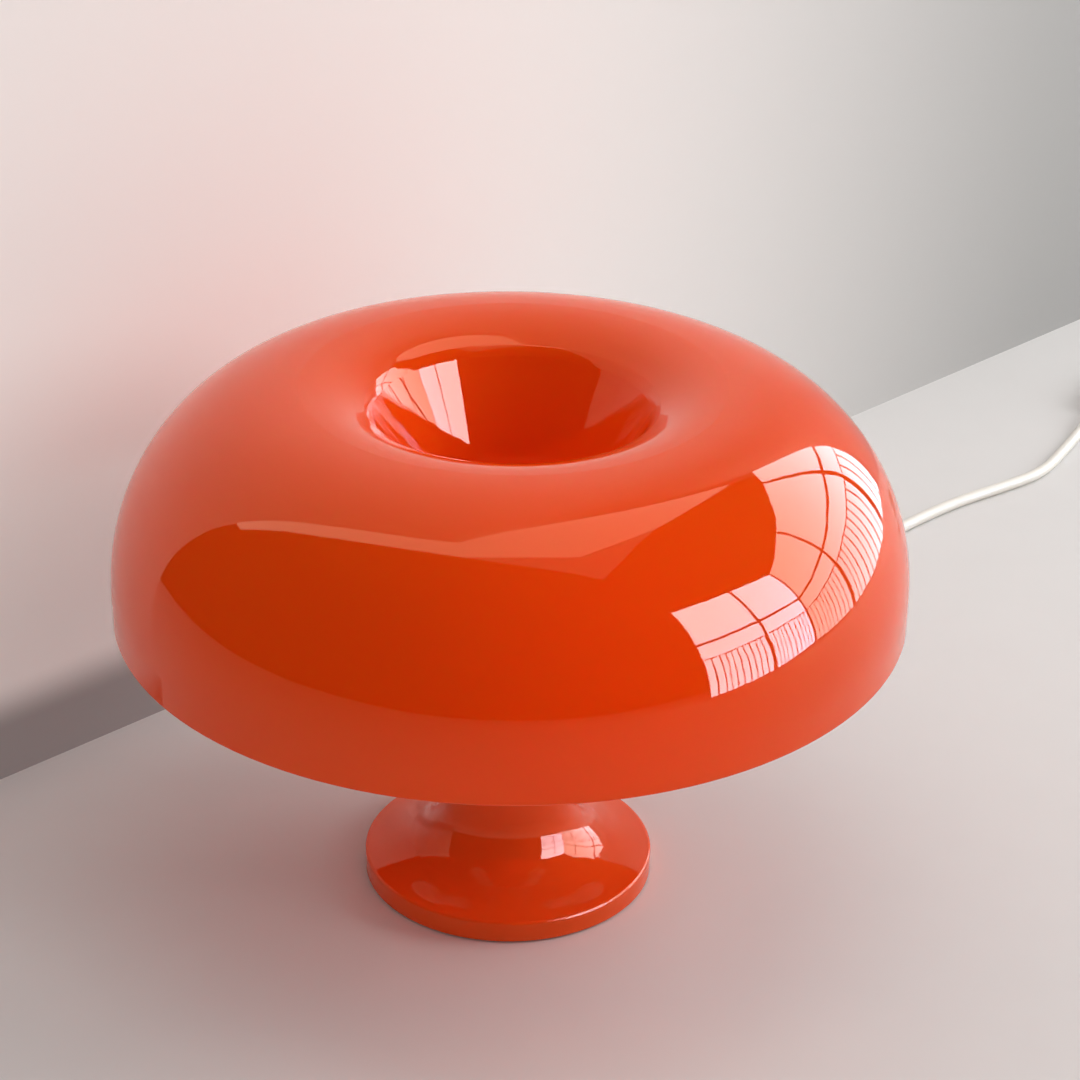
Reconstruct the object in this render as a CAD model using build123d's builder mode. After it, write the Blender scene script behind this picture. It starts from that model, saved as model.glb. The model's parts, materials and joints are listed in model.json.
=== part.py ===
from build123d import *
from math import acos, atan2, cos, degrees, hypot, pi, radians, sin, sqrt, tan
import os

# A mushroom table lamp, in millimetres: a domed shade with a funnel in its crown, on a hollow stem
# that flares into a round foot. Four globe bulbs lie level under the shade, one on each diagonal.
# The origin is the middle of the foot on the table, +Z is up, and the cord leaves at the back, +Y.

# Foot and stem
foot_gap = 1.0
disc_r = 60.5
disc_top = 10.0
disc_edge_round = 1.2
disc_edge_slope = 4.0
flare_high_arc = 24.0
flare_change = 65.0
flare_inset = 1.5
stem_low_r = 27.55
stem_taper = 3.1
stem_top_z = 128.0
stem_top_t = 4.0
base_wall = 3.0

# Clearances of fits that recur, and how far a cut runs past the face it opens
fit_clearance = 0.05
running_clearance = 0.1
hole_clearance = 0.1
head_clearance = 0.2
depth_clearance = 0.3
cut_past = 1.0

# Foot closure and ballast
cover_t = 1.0
cover_clearance = 0.3
foot_ring_inset = 4.5
foot_ring_width = 10.0
cover_screw_inset = 17.5
cover_screw_r = 1.4
cover_screw_head_r = 2.8
cover_screw_head_t = 0.85
cover_screw_length = 7.0
boss_r = 4.0
ballast_inset = 22.5
ballast_edge_h = 9.7
ballast_wall_gap = 3.83
ballast_boss_h = 16.0
ballast_chamfer = 1.5
ballast_gap = 0.3
seat_rib_gap = 1.0
seat_rib_t = 2.0
seat_rib_count = 6

# Threaded tube and its nuts
tube_r = 5.0
tube_bore_r = 3.6
tube_clearance = 0.15
tube_chamfer = 0.5
tube_above_floor = 8.0
washer_r = 9.0
washer_t = 1.2
nut_flats_r = 7.0
nut_t = 4.4

# Holder carrier and the shade's seat
carrier_t = 2.0
carrier_overhang = 1.5
arm_w = 18.0
tab_gap = 6.527
tab_h = 36.0
seat_inset = 0.5
seat_wall = 4.5
seat_h = 8.0
seat_top_t = 1.8
seat_slot_w = 4.8

# Shade
shade_r = 160.0
shade_wall = 3.0
rim_below_floor = 10.0
rim_band_h = 13.0
rim_round = 1.1
shoulder_h = 81.0
crest_r = 84.0
crest_arc = 46.0
crest_end_slope = 34.0
lip_arc = 12.0
lip_end_slope = 58.0
funnel_arc = 291.0
floor_t = 4.0

# Shade nut
shade_nut_r = 10.0
shade_nut_h = 12.0
shade_nut_roof = 3.0
shade_nut_round = 2.0
knurl_count = 20
knurl_r = 0.9
nut_washer_r = 11.0
nut_washer_t = 1.0

# Lamp holders
bulb_count = 4
bulb_start_angle = 45.0
bulb_above_floor = 14.5
holder_length = 30.0
holder_back_r = 11.0
holder_back_length = 10.0
holder_r = 14.0
holder_step = 1.5
holder_chamfer = 1.0
holder_back_wall = 4.0
holder_mouth_r = 9.0
holder_mouth_depth = 2.0
holder_screw_offset = 8.0
holder_screw_r = 1.4
holder_screw_head_r = 2.6
holder_screw_head_t = 1.5
holder_screw_length = 5.0
screw_shell_wall = 0.6
screw_shell_gap = 0.2
contact_r = 2.8
contact_t = 0.8
contact_gap = 0.2

# Bulbs
cap_r = 6.85
cap_wall = 0.4
cap_clearance = 0.35
cap_length = 19.0
cap_base_r = 4.5
cap_base_h = 1.5
tip_length = 3.6
tip_contact_r = 2.2
tip_contact_h = 0.6
globe_r = 22.5
glass_wall = 0.8
neck_r = 6.3
neck_arc = 7.0
neck_in_cap = 8.0
bulb_length = 73.0

# Wiring inside
cord_r = 2.9
cord_exit_z = 5.0
cable_rise_y = 12.0
cable_bend = 14.0
cable_slot_clearance = 0.4
junction_wall_gap = 4.46
junction_h = 13.0
junction_round = 0.8
junction_below_top = 36.0
lead_r = 1.7
lead_hole_r = 2.1
lead_wall_gap = 5.5
lead_step_r = 33.5
lead_above_carrier = 3.6
lead_bends = (5.0, 7.0, 6.0)
clamp_inset = 17.5
clamp_w = 18.0
clamp_l = 6.0
clamp_h = 6.0
clamp_screw_offset = 6.2
clamp_screw_r = 1.1
clamp_screw_head_r = 2.0
clamp_screw_length = 5.0
clamp_round = 1.5

# Strain relief
relief_r = 3.5
relief_tip_r = 3.25
relief_length = 26.0
relief_groove_count = 5
relief_groove_w = 1.4
relief_groove_depth = 0.35
relief_flange_w = 11.0
relief_flange_t = 1.6
relief_flange_h = 4.8
relief_notch_depth = 15.0
relief_clearance = 0.1

# Inline switch
switch_length = 62.0
switch_w = 24.0
switch_end_w = 12.0
switch_h = 16.0
switch_split_z = 7.5
switch_corner_round = 2.5
switch_top_round = 3.0
switch_foot_round = 1.2
rocker_r = 10.4
rocker_w = 9.0
rocker_top = 5.0
rocker_dip = 1.4
rocker_below = 3.0
rocker_tilt = 8.0
rocker_pivot_below_top = 4.0
rocker_clearance = 0.25
trunnion_r = 1.5
trunnion_length = 1.4
trunnion_clearance = 0.05
window_floor_z = 5.5
switch_screw_x = 22.0
switch_screw_y = 5.5
switch_screw_r = 1.2
switch_screw_head_r = 2.2
switch_screw_head_t = 1.4
switch_screw_recess = 1.0
switch_screw_top_z = 12.0

# Plug
plug_relief_length = 18.0
plug_relief_r = 3.4
plug_relief_base_r = 4.4
plug_body_length = 36.0
plug_w = 35.3
plug_h = 13.7
plug_neck_w = 11.0
plug_neck_h = 9.6
plug_mid_w = 24.0
plug_mid_share = 0.45
plug_side_round = 4.0
pin_r = 2.0
pin_spacing = 18.6
pin_length = 19.0
pin_sleeve_length = 10.0
pin_tip_round = 1.5

# Coil of the put-away length and its tie
coil_r = 39.0
coil_pitch = 6.3
coil_half_turns = 5
coil_tie_w = 7.0
coil_tie_t = 1.2
coil_tie_clearance = 0.3
coil_tie_inner_slack = 1.1
coil_tie_round = 2.3
link_length = 32.0
tail_length = 38.0
free_first_share = 0.34
free_second_share = 0.68
table_clearance = 0.05

os.makedirs("parts", exist_ok=True)


def next_centre(centre, radius, next_radius, slope):
    """The centre of the next arc, which meets the last one at that slope with one tangent."""
    reach = next_radius - radius
    return (centre[0] + reach * sin(radians(slope)), centre[1] - reach * cos(radians(slope)))


def radial_plane(angle, height=0.0):
    """An upright plane through the lamp's axis: its x runs outward at that angle, its y runs up."""
    turn = radians(angle)
    return Plane(origin=(0, 0, height), x_dir=(cos(turn), sin(turn), 0), z_dir=(sin(turn), -cos(turn), 0))


def outward(angle, height):
    """The level axis from the lamp's middle outward at that angle."""
    return Axis((0, 0, height), (cos(radians(angle)), sin(radians(angle)), 0))


def cross_plane(angle, distance):
    """An upright plane square to a bulb's axis, that far out along it, with its x up."""
    axis = outward(angle, bulb_z)
    return Plane(origin=axis.position + axis.direction * distance, z_dir=axis.direction, x_dir=(0, 0, 1))


# Levels and places that follow from the sizes above
floor_z = stem_top_z + carrier_t + seat_h
rim_z = floor_z - rim_below_floor
shoulder_z = rim_z + rim_band_h
crest_z = shoulder_z + shoulder_h
bulb_z = floor_z + bulb_above_floor
tube_top_z = floor_z + floor_t + tube_above_floor
cover_top_z = foot_gap + cover_t
tube_hole_r = tube_r + tube_clearance
bulb_angles = [bulb_start_angle + 360 / bulb_count * index for index in range(bulb_count)]
ballast_z = cover_top_z + ballast_gap
ballast_top_z = ballast_z + ballast_edge_h

# Base shell: the foot's outline is two hollow arcs between the disc's edge and the tapering stem.
# Angles of the flare are counted from straight down, turning outward. The lower arc's radius is
# what joins the disc's edge to the stem.
flare_end = (disc_r - flare_inset, disc_top)
low_end_turn = radians(90 - disc_edge_slope)
change_turn = radians(flare_change)
stem_turn = radians(stem_taper)
flare_reach = flare_end[0] - stem_low_r - flare_high_arc * (cos(stem_turn) - cos(change_turn))
flare_low_arc = flare_reach / (cos(change_turn) - cos(low_end_turn))
low_centre = (
    flare_end[0] + flare_low_arc * cos(low_end_turn),
    flare_end[1] + flare_low_arc * sin(low_end_turn),
)
high_centre = (
    low_centre[0] - (flare_low_arc - flare_high_arc) * cos(change_turn),
    low_centre[1] - (flare_low_arc - flare_high_arc) * sin(change_turn),
)


def stem_radius(height, inset):
    """The stem's radius at that height, that far inside its outer face."""
    start_r = high_centre[0] - (flare_high_arc + inset) * cos(stem_turn)
    start_z = high_centre[1] - (flare_high_arc + inset) * sin(stem_turn)
    return start_r - (height - start_z) * tan(stem_turn)


def flare_lines(inset, top_z, end_turn):
    """Outline of stem and flare, that far inside the outer face, down to the given turn."""
    high_radius = flare_high_arc + inset
    start_z = high_centre[1] - high_radius * sin(stem_turn)
    Line((stem_radius(top_z, inset), top_z), (stem_radius(start_z, inset), start_z))
    CenterArc(high_centre, high_radius, 180 + stem_taper, flare_change - stem_taper)
    low = CenterArc(low_centre, flare_low_arc + inset, 180 + flare_change, degrees(end_turn) - flare_change)
    return low @ 1


def flare_radius(height, inset):
    """The flare's radius at that height, that far inside its outer face, on its upper arc."""
    return high_centre[0] - sqrt((flare_high_arc + inset) ** 2 - (high_centre[1] - height) ** 2)


def roof_height(radius, inset):
    """The flare's height over that radius, that far inside its outer face."""
    centre = low_centre
    arc = flare_low_arc + inset
    if radius < low_centre[0] - arc * cos(change_turn):
        centre = high_centre
        arc = flare_high_arc + inset
    return centre[1] - sqrt(arc**2 - (centre[0] - radius) ** 2)


inner_disc_r = disc_r - base_wall
inner_end_turn = acos((low_centre[0] - inner_disc_r) / (flare_low_arc + base_wall))
stem_top_r = stem_radius(stem_top_z, 0)
seat_r = stem_top_r - seat_inset
lead_rise_r = stem_radius(stem_top_z, base_wall) - lead_wall_gap
junction_z = stem_top_z - junction_below_top
junction_r = stem_radius(junction_z, base_wall) - junction_wall_gap
cover_screw_pcd_r = inner_disc_r - cover_screw_inset
boss_top_z = roof_height(cover_screw_pcd_r + boss_r, base_wall) + base_wall / 2
ballast_r = inner_disc_r - ballast_inset
ballast_boss_r = flare_radius(ballast_top_z + ballast_boss_h, base_wall) - ballast_wall_gap
seat_rib_length = ballast_r - ballast_boss_r - seat_rib_gap
seat_rib_top_z = roof_height(ballast_r, base_wall) + base_wall / 2

with BuildPart() as base_shell:
    with BuildSketch(Plane.XZ) as shell_outline:
        with BuildLine():
            flare_foot = flare_lines(0, stem_top_z, low_end_turn)
            Polyline(
                flare_foot,
                (disc_r, disc_top - flare_inset * tan(radians(disc_edge_slope))),
                (disc_r, foot_gap),
                (0, foot_gap),
                (0, stem_top_z),
                (stem_top_r, stem_top_z),
            )
        make_face()
        rim_corner = shell_outline.vertices().group_by(Axis.X)[-1].sort_by(Axis.Y)[-1]
        fillet(rim_corner, disc_edge_round)
    revolve(axis=Axis.Z)
    stem_rim = base_shell.edges().filter_by(GeomType.CIRCLE).group_by(Axis.Z)[-1]
    fillet(stem_rim, disc_edge_round)
    with BuildSketch(Plane.XZ):
        with BuildLine():
            roof_z = stem_top_z - stem_top_t
            inner_foot = flare_lines(base_wall, roof_z, inner_end_turn)
            Polyline(
                inner_foot,
                (inner_disc_r, foot_gap),
                (0, foot_gap),
                (0, roof_z),
                (stem_radius(roof_z, base_wall), roof_z),
            )
        make_face()
    revolve(axis=Axis.Z, mode=Mode.SUBTRACT)
    # Bosses for the cover's screws, and ribs that stand on the ballast
    with BuildSketch(Plane.XY.offset(cover_top_z)):
        with PolarLocations(cover_screw_pcd_r, 3, start_angle=-90):
            Circle(boss_r)
    extrude(amount=boss_top_z - cover_top_z)
    with PolarLocations(ballast_r - seat_rib_length / 2, seat_rib_count, start_angle=30):
        with Locations((0, 0, ballast_top_z)):
            Box(
                seat_rib_length,
                seat_rib_t,
                seat_rib_top_z - ballast_top_z,
                align=(Align.CENTER, Align.CENTER, Align.MIN),
            )
    with PolarLocations(cover_screw_pcd_r, 3, start_angle=-90):
        with Locations((0, 0, cover_top_z)):
            Cylinder(
                cover_screw_r + fit_clearance,
                cover_screw_length,
                align=(Align.CENTER, Align.CENTER, Align.MIN),
                mode=Mode.SUBTRACT,
            )
    # Holes in the stem's top for the tube and the holder leads
    with BuildSketch(Plane.XY.offset(stem_top_z)):
        Circle(tube_hole_r)
        with PolarLocations(lead_rise_r, bulb_count, start_angle=bulb_start_angle):
            Circle(lead_hole_r)
    extrude(amount=-stem_top_t, mode=Mode.SUBTRACT)
    # Notch at the back for the strain relief, open at the bottom
    notch_r = relief_r + relief_clearance
    with BuildSketch(Plane.XZ.offset(-disc_r - cut_past)):
        with Locations((0, cord_exit_z)):
            Circle(notch_r)
        with Locations((0, (cord_exit_z + foot_gap) / 2)):
            Rectangle(2 * notch_r, cord_exit_z - foot_gap)
    extrude(amount=relief_notch_depth, mode=Mode.SUBTRACT)
base_shell.part.label = "base_shell"
export_step(base_shell.part, "parts/base_shell.step")

# Foot ring, bottom cover and its screws
with BuildPart() as foot_ring:
    with BuildSketch():
        Circle(disc_r - foot_ring_inset)
        Circle(disc_r - foot_ring_inset - foot_ring_width, mode=Mode.SUBTRACT)
    extrude(amount=foot_gap)
foot_ring.part.label = "foot_ring"
export_step(foot_ring.part, "parts/foot_ring.step")

cover_r = inner_disc_r - cover_clearance
clamp_y = inner_disc_r - clamp_inset
with BuildPart() as bottom_cover:
    with BuildSketch(Plane.XY.offset(foot_gap)):
        Circle(cover_r)
        with PolarLocations(cover_screw_pcd_r, 3, start_angle=-90):
            Circle(cover_screw_r + hole_clearance, mode=Mode.SUBTRACT)
        with Locations((-clamp_screw_offset, clamp_y), (clamp_screw_offset, clamp_y)):
            Circle(clamp_screw_r + hole_clearance, mode=Mode.SUBTRACT)
    extrude(amount=cover_t)
bottom_cover.part.label = "bottom_cover"
export_step(bottom_cover.part, "parts/bottom_cover.step")

with BuildPart() as cover_screws:
    with BuildSketch(Plane.XY.offset(foot_gap)):
        with PolarLocations(cover_screw_pcd_r, 3, start_angle=-90):
            Circle(cover_screw_head_r)
    extrude(amount=-cover_screw_head_t)
    with BuildSketch(Plane.XY.offset(foot_gap)):
        with PolarLocations(cover_screw_pcd_r, 3, start_angle=-90):
            Circle(cover_screw_r)
    extrude(amount=cover_screw_length)
cover_screws.part.label = "cover_screws"
export_step(cover_screws.part, "parts/cover_screws.step")

# Ballast: an iron weight with a recess for the lower nut and a slot for the cable
slot_w = 2 * (cord_r + cable_slot_clearance)
recess_h = nut_t + washer_t + 2 * ballast_gap
tube_low_z = ballast_z + ballast_gap
with BuildPart() as ballast_weight:
    with BuildSketch(Plane.XY.offset(ballast_z)):
        Circle(ballast_r)
    extrude(amount=ballast_edge_h)
    with BuildSketch(Plane.XY.offset(ballast_top_z)):
        Circle(ballast_boss_r)
    extrude(amount=ballast_boss_h)
    chamfer(ballast_weight.edges().filter_by(GeomType.CIRCLE).group_by(Axis.Z)[-1], ballast_chamfer)
    with BuildSketch(Plane.XY.offset(ballast_z)):
        Circle(washer_r + ballast_gap)
    extrude(amount=recess_h, mode=Mode.SUBTRACT)
    with BuildSketch(Plane.XY.offset(ballast_z)):
        Circle(tube_hole_r)
        with Locations((0, cable_rise_y - slot_w / 2)):
            Rectangle(slot_w, ballast_r, align=(Align.CENTER, Align.MIN))
    extrude(amount=ballast_edge_h + ballast_boss_h, mode=Mode.SUBTRACT)
ballast_weight.part.label = "ballast_weight"
export_step(ballast_weight.part, "parts/ballast_weight.step")

# Threaded tube, from under the ballast to above the shade's floor
with BuildPart() as threaded_tube:
    with BuildSketch(Plane.XY.offset(tube_low_z)):
        Circle(tube_r)
        Circle(tube_bore_r, mode=Mode.SUBTRACT)
    extrude(amount=tube_top_z - tube_low_z)
    tube_end = threaded_tube.edges().filter_by(GeomType.CIRCLE).group_by(Axis.Z)[-1]
    chamfer(tube_end.sort_by(SortBy.RADIUS)[-1], tube_chamfer)
threaded_tube.part.label = "threaded_tube"
export_step(threaded_tube.part, "parts/threaded_tube.step")

lower_washer_z = ballast_z + recess_h - washer_t
upper_washer_z = stem_top_z + carrier_t
for washer_name, washer_z in (("lower_washer", lower_washer_z), ("upper_washer", upper_washer_z)):
    with BuildPart() as washer:
        with BuildSketch(Plane.XY.offset(washer_z)):
            Circle(washer_r)
            Circle(tube_hole_r, mode=Mode.SUBTRACT)
        extrude(amount=washer_t)
    washer.part.label = washer_name
    export_step(washer.part, f"parts/{washer_name}.step")

for nut_name, nut_z in (("lower_nut", lower_washer_z - nut_t), ("upper_nut", upper_washer_z + washer_t)):
    with BuildPart() as nut:
        with BuildSketch(Plane.XY.offset(nut_z)):
            RegularPolygon(nut_flats_r, 6, major_radius=False)
            Circle(tube_hole_r, mode=Mode.SUBTRACT)
        extrude(amount=nut_t)
    nut.part.label = nut_name
    export_step(nut.part, f"parts/{nut_name}.step")

# The shade's crest, lip and funnel are arcs about these centres
crest_centre = (crest_r, crest_z - crest_arc)
lip_centre = next_centre(crest_centre, crest_arc, lip_arc, crest_end_slope)
funnel_centre = next_centre(lip_centre, lip_arc, funnel_arc, lip_end_slope)


def funnel_radius(height, inset):
    """The funnel's radius at that height, that far inside the shade's outer face."""
    return funnel_centre[0] - sqrt((funnel_arc - inset) ** 2 - (height - funnel_centre[1]) ** 2)


tab_r = funnel_radius(stem_top_z + tab_h, shade_wall) + tab_gap
holder_s = tab_r + carrier_t

# Holder carrier: a plate on the stem's top, with an arm and an upright tab for each holder
with BuildPart() as holder_carrier:
    with BuildSketch(Plane.XY.offset(stem_top_z)):
        Circle(stem_top_r + carrier_overhang)
        with PolarLocations(0, bulb_count, start_angle=bulb_start_angle):
            Rectangle(holder_s, arm_w, align=(Align.MIN, Align.CENTER))
        Circle(tube_hole_r, mode=Mode.SUBTRACT)
        with PolarLocations(lead_rise_r, bulb_count, start_angle=bulb_start_angle):
            Circle(lead_hole_r, mode=Mode.SUBTRACT)
    extrude(amount=carrier_t)
    with BuildSketch(Plane.XY.offset(stem_top_z)):
        with PolarLocations(tab_r, bulb_count, start_angle=bulb_start_angle):
            Rectangle(carrier_t, arm_w, align=(Align.MIN, Align.CENTER))
    extrude(amount=tab_h)
    for angle in bulb_angles:
        with BuildSketch(cross_plane(angle, 0)):
            Circle(lead_hole_r)
            with Locations((holder_screw_offset, 0), (-holder_screw_offset, 0)):
                Circle(holder_screw_r + hole_clearance)
        extrude(amount=holder_s + cut_past, mode=Mode.SUBTRACT)
holder_carrier.part.label = "holder_carrier"
export_step(holder_carrier.part, "parts/holder_carrier.step")

# Shade seat: a collar over the upper nut, slotted for the leads, that carries the shade's floor
with BuildPart() as shade_seat:
    with BuildSketch(Plane.XY.offset(upper_washer_z)):
        Circle(seat_r)
    extrude(amount=seat_h)
    with BuildSketch(Plane.XY.offset(upper_washer_z)):
        Circle(seat_r - seat_wall)
        with PolarLocations(0, bulb_count, start_angle=bulb_start_angle):
            Rectangle(seat_r + cut_past, seat_slot_w, align=(Align.MIN, Align.CENTER))
    extrude(amount=seat_h - seat_top_t, mode=Mode.SUBTRACT)
    with BuildSketch(Plane.XY.offset(upper_washer_z)):
        Circle(tube_hole_r)
    extrude(amount=seat_h, mode=Mode.SUBTRACT)
shade_seat.part.label = "shade_seat"
export_step(shade_seat.part, "parts/shade_seat.step")

# Shade: one shell. Its outline is the rim's band, an elliptic shoulder, and then three arcs in one
# sweep, over the crest, round the lip and down the funnel to the floor that rests on the seat.
def shade_lines(inset, end_z):
    """Outline of the shade, that far inside its outer face, from the rim to a height in the funnel."""
    end_slope = degrees(acos((end_z - funnel_centre[1]) / (funnel_arc - inset)))
    start = Line((shade_r - inset, rim_z), (shade_r - inset, shoulder_z))
    EllipticalCenterArc(
        (crest_r, shoulder_z),
        shade_r - crest_r - inset,
        shoulder_h - inset,
        start_angle=0,
        arc_size=90,
    )
    CenterArc(crest_centre, crest_arc - inset, 90, crest_end_slope)
    CenterArc(lip_centre, lip_arc - inset, 90 + crest_end_slope, lip_end_slope - crest_end_slope)
    end = CenterArc(funnel_centre, funnel_arc - inset, 90 + lip_end_slope, end_slope - lip_end_slope)
    return start @ 0, end @ 1


floor_hole_r = tube_r + cover_clearance
with BuildPart() as shade:
    with BuildSketch(Plane.XZ):
        with BuildLine():
            rim_outside, floor_top = shade_lines(0, floor_z + floor_t)
            rim_inside, floor_under = shade_lines(shade_wall, floor_z)
            Line(rim_outside, rim_inside)
            Polyline(
                floor_top,
                (floor_hole_r, floor_z + floor_t),
                (floor_hole_r, floor_z),
                floor_under,
            )
        make_face()
    revolve(axis=Axis.Z)
    fillet(shade.edges().filter_by(GeomType.CIRCLE).group_by(Axis.Z)[0], rim_round)
shade.part.label = "shade"
export_step(shade.part, "parts/shade.step")

# Shade nut: a knurled cap nut over the tube's end, on its washer at the bottom of the funnel
nut_washer_z = floor_z + floor_t
shade_nut_z = nut_washer_z + nut_washer_t
running_r = tube_r + running_clearance
with BuildPart() as nut_washer:
    with BuildSketch(Plane.XY.offset(nut_washer_z)):
        Circle(nut_washer_r)
        Circle(running_r, mode=Mode.SUBTRACT)
    extrude(amount=nut_washer_t)
nut_washer.part.label = "nut_washer"
export_step(nut_washer.part, "parts/nut_washer.step")

with BuildPart() as shade_nut:
    with BuildSketch(Plane.XY.offset(shade_nut_z)):
        Circle(shade_nut_r)
        with PolarLocations(shade_nut_r, knurl_count):
            Circle(knurl_r, mode=Mode.SUBTRACT)
    extrude(amount=shade_nut_h - shade_nut_roof)
    with BuildSketch(Plane.XY.offset(shade_nut_z + shade_nut_h - shade_nut_roof)):
        Circle(shade_nut_r - knurl_r)
    extrude(amount=shade_nut_roof)
    fillet(shade_nut.edges().filter_by(GeomType.CIRCLE).group_by(Axis.Z)[-1], shade_nut_round)
    with BuildSketch(Plane.XY.offset(shade_nut_z)):
        Circle(running_r)
    extrude(amount=shade_nut_h - shade_nut_roof, mode=Mode.SUBTRACT)
shade_nut.part.label = "shade_nut"
export_step(shade_nut.part, "parts/shade_nut.step")

# Lamp holders and bulbs, one on each diagonal. Their outlines are drawn along the bulb's axis,
# outward from the lamp's middle, and turned about that axis.
shell_bore_r = cap_r + cap_clearance
shell_outer_r = shell_bore_r + screw_shell_wall
holder_bore_r = shell_outer_r + fit_clearance
holder_end_s = holder_s + holder_length
holder_floor_s = holder_s + holder_back_wall
contact_s = holder_floor_s + contact_t
tip_s = contact_s + contact_gap
cap_s = tip_s + tip_length
cap_end_s = cap_s + cap_length
globe_s = tip_s + bulb_length - globe_r
neck_centre_reach = sqrt((globe_r + neck_arc) ** 2 - (neck_r + neck_arc) ** 2)
neck_centre = (globe_s - neck_centre_reach, neck_r + neck_arc)
neck_turn = degrees(atan2(neck_r + neck_arc, neck_centre_reach))
neck_start_s = cap_end_s - neck_in_cap


def glass_lines(inset):
    """Outline of the bulb's glass, that far inside its outer face: neck, hollow arc and globe."""
    neck = Line((neck_start_s, neck_r - inset), (neck_centre[0], neck_r - inset))
    CenterArc(neck_centre, neck_arc + inset, -90, 90 - neck_turn)
    globe = CenterArc((globe_s, 0), globe_r - inset, 180 - neck_turn, neck_turn - 180)
    return neck @ 0, globe @ 1


for number, angle in enumerate(bulb_angles, start=1):
    section = radial_plane(angle, bulb_z)
    axis = outward(angle, bulb_z)

    with BuildPart() as lamp_holder:
        with BuildSketch(section):
            with BuildLine():
                Polyline(
                    (holder_s, 0),
                    (holder_s, holder_back_r),
                    (holder_s + holder_back_length, holder_back_r),
                    (holder_s + holder_back_length + holder_step, holder_r),
                    (holder_end_s - holder_chamfer, holder_r),
                    (holder_end_s, holder_r - holder_chamfer),
                    (holder_end_s, holder_mouth_r),
                    (holder_end_s - holder_mouth_depth, holder_bore_r),
                    (holder_floor_s, holder_bore_r),
                    (holder_floor_s, 0),
                    close=True,
                )
            make_face()
        revolve(axis=axis)
        with BuildSketch(cross_plane(angle, holder_s)):
            with Locations((holder_screw_offset, 0), (-holder_screw_offset, 0)):
                Circle(holder_screw_r + hole_clearance)
        extrude(amount=holder_back_wall, mode=Mode.SUBTRACT)
    lamp_holder.part.label = f"lamp_holder_{number}"
    export_step(lamp_holder.part, f"parts/lamp_holder_{number}.step")

    with BuildPart() as screw_shell:
        with BuildSketch(section):
            with Locations((holder_floor_s + screw_shell_gap, shell_bore_r)):
                Rectangle(
                    holder_length - holder_back_wall - holder_mouth_depth - screw_shell_gap,
                    screw_shell_wall,
                    align=(Align.MIN, Align.MIN),
                )
        revolve(axis=axis)
    screw_shell.part.label = f"holder_shell_{number}"
    export_step(screw_shell.part, f"parts/holder_shell_{number}.step")

    with BuildPart() as bulb_glass:
        with BuildSketch(section):
            with BuildLine():
                neck_outside, end_outside = glass_lines(0)
                neck_inside, end_inside = glass_lines(glass_wall)
                Line(neck_outside, neck_inside)
                Line(end_outside, end_inside)
            make_face()
        revolve(axis=axis)
    bulb_glass.part.label = f"bulb_glass_{number}"
    export_step(bulb_glass.part, f"parts/bulb_glass_{number}.step")

    with BuildPart() as bulb_cap:
        with BuildSketch(section):
            with BuildLine():
                Polyline(
                    (cap_s, cap_base_r),
                    (cap_s + cap_base_h, cap_r),
                    (cap_end_s, cap_r),
                    (cap_end_s, cap_r - cap_wall),
                    (cap_s + cap_base_h + cap_wall / 2, cap_r - cap_wall),
                    (cap_s + cap_wall, cap_base_r - cap_wall),
                    (cap_s, cap_base_r - cap_wall),
                    close=True,
                )
            make_face()
        revolve(axis=axis)
    bulb_cap.part.label = f"bulb_cap_{number}"
    export_step(bulb_cap.part, f"parts/bulb_cap_{number}.step")

    with BuildPart() as bulb_tip:
        with BuildSketch(section):
            with BuildLine():
                Polyline(
                    (tip_s, 0),
                    (tip_s, tip_contact_r),
                    (tip_s + tip_contact_h, tip_contact_r),
                    (cap_s, cap_base_r),
                    (cap_s, 0),
                    close=True,
                )
            make_face()
        revolve(axis=axis)
    bulb_tip.part.label = f"bulb_tip_{number}"
    export_step(bulb_tip.part, f"parts/bulb_tip_{number}.step")

# The four holders' centre contacts, and their screws through the tabs
with BuildPart() as holder_contacts:
    for angle in bulb_angles:
        with BuildSketch(cross_plane(angle, holder_floor_s)):
            Circle(contact_r)
        extrude(amount=contact_t)
holder_contacts.part.label = "holder_contacts"
export_step(holder_contacts.part, "parts/holder_contacts.step")

with BuildPart() as holder_screws:
    for angle in bulb_angles:
        with BuildSketch(cross_plane(angle, tab_r)):
            with Locations((holder_screw_offset, 0), (-holder_screw_offset, 0)):
                Circle(holder_screw_head_r)
        extrude(amount=-holder_screw_head_t)
        with BuildSketch(cross_plane(angle, tab_r)):
            with Locations((holder_screw_offset, 0), (-holder_screw_offset, 0)):
                Circle(holder_screw_r)
        extrude(amount=holder_screw_length)
holder_screws.part.label = "holder_screws"
export_step(holder_screws.part, "parts/holder_screws.step")

# Wiring inside: a junction block on the tube, a lead to each holder, and the cable up the stem
with BuildPart() as junction_block:
    with BuildSketch(Plane.XY.offset(junction_z)):
        Circle(junction_r)
        Circle(tube_hole_r, mode=Mode.SUBTRACT)
    extrude(amount=junction_h)
    fillet(junction_block.edges().filter_by(GeomType.CIRCLE).group_by(SortBy.RADIUS)[-1], junction_round)
junction_block.part.label = "junction_block"
export_step(junction_block.part, "parts/junction_block.step")

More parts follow.
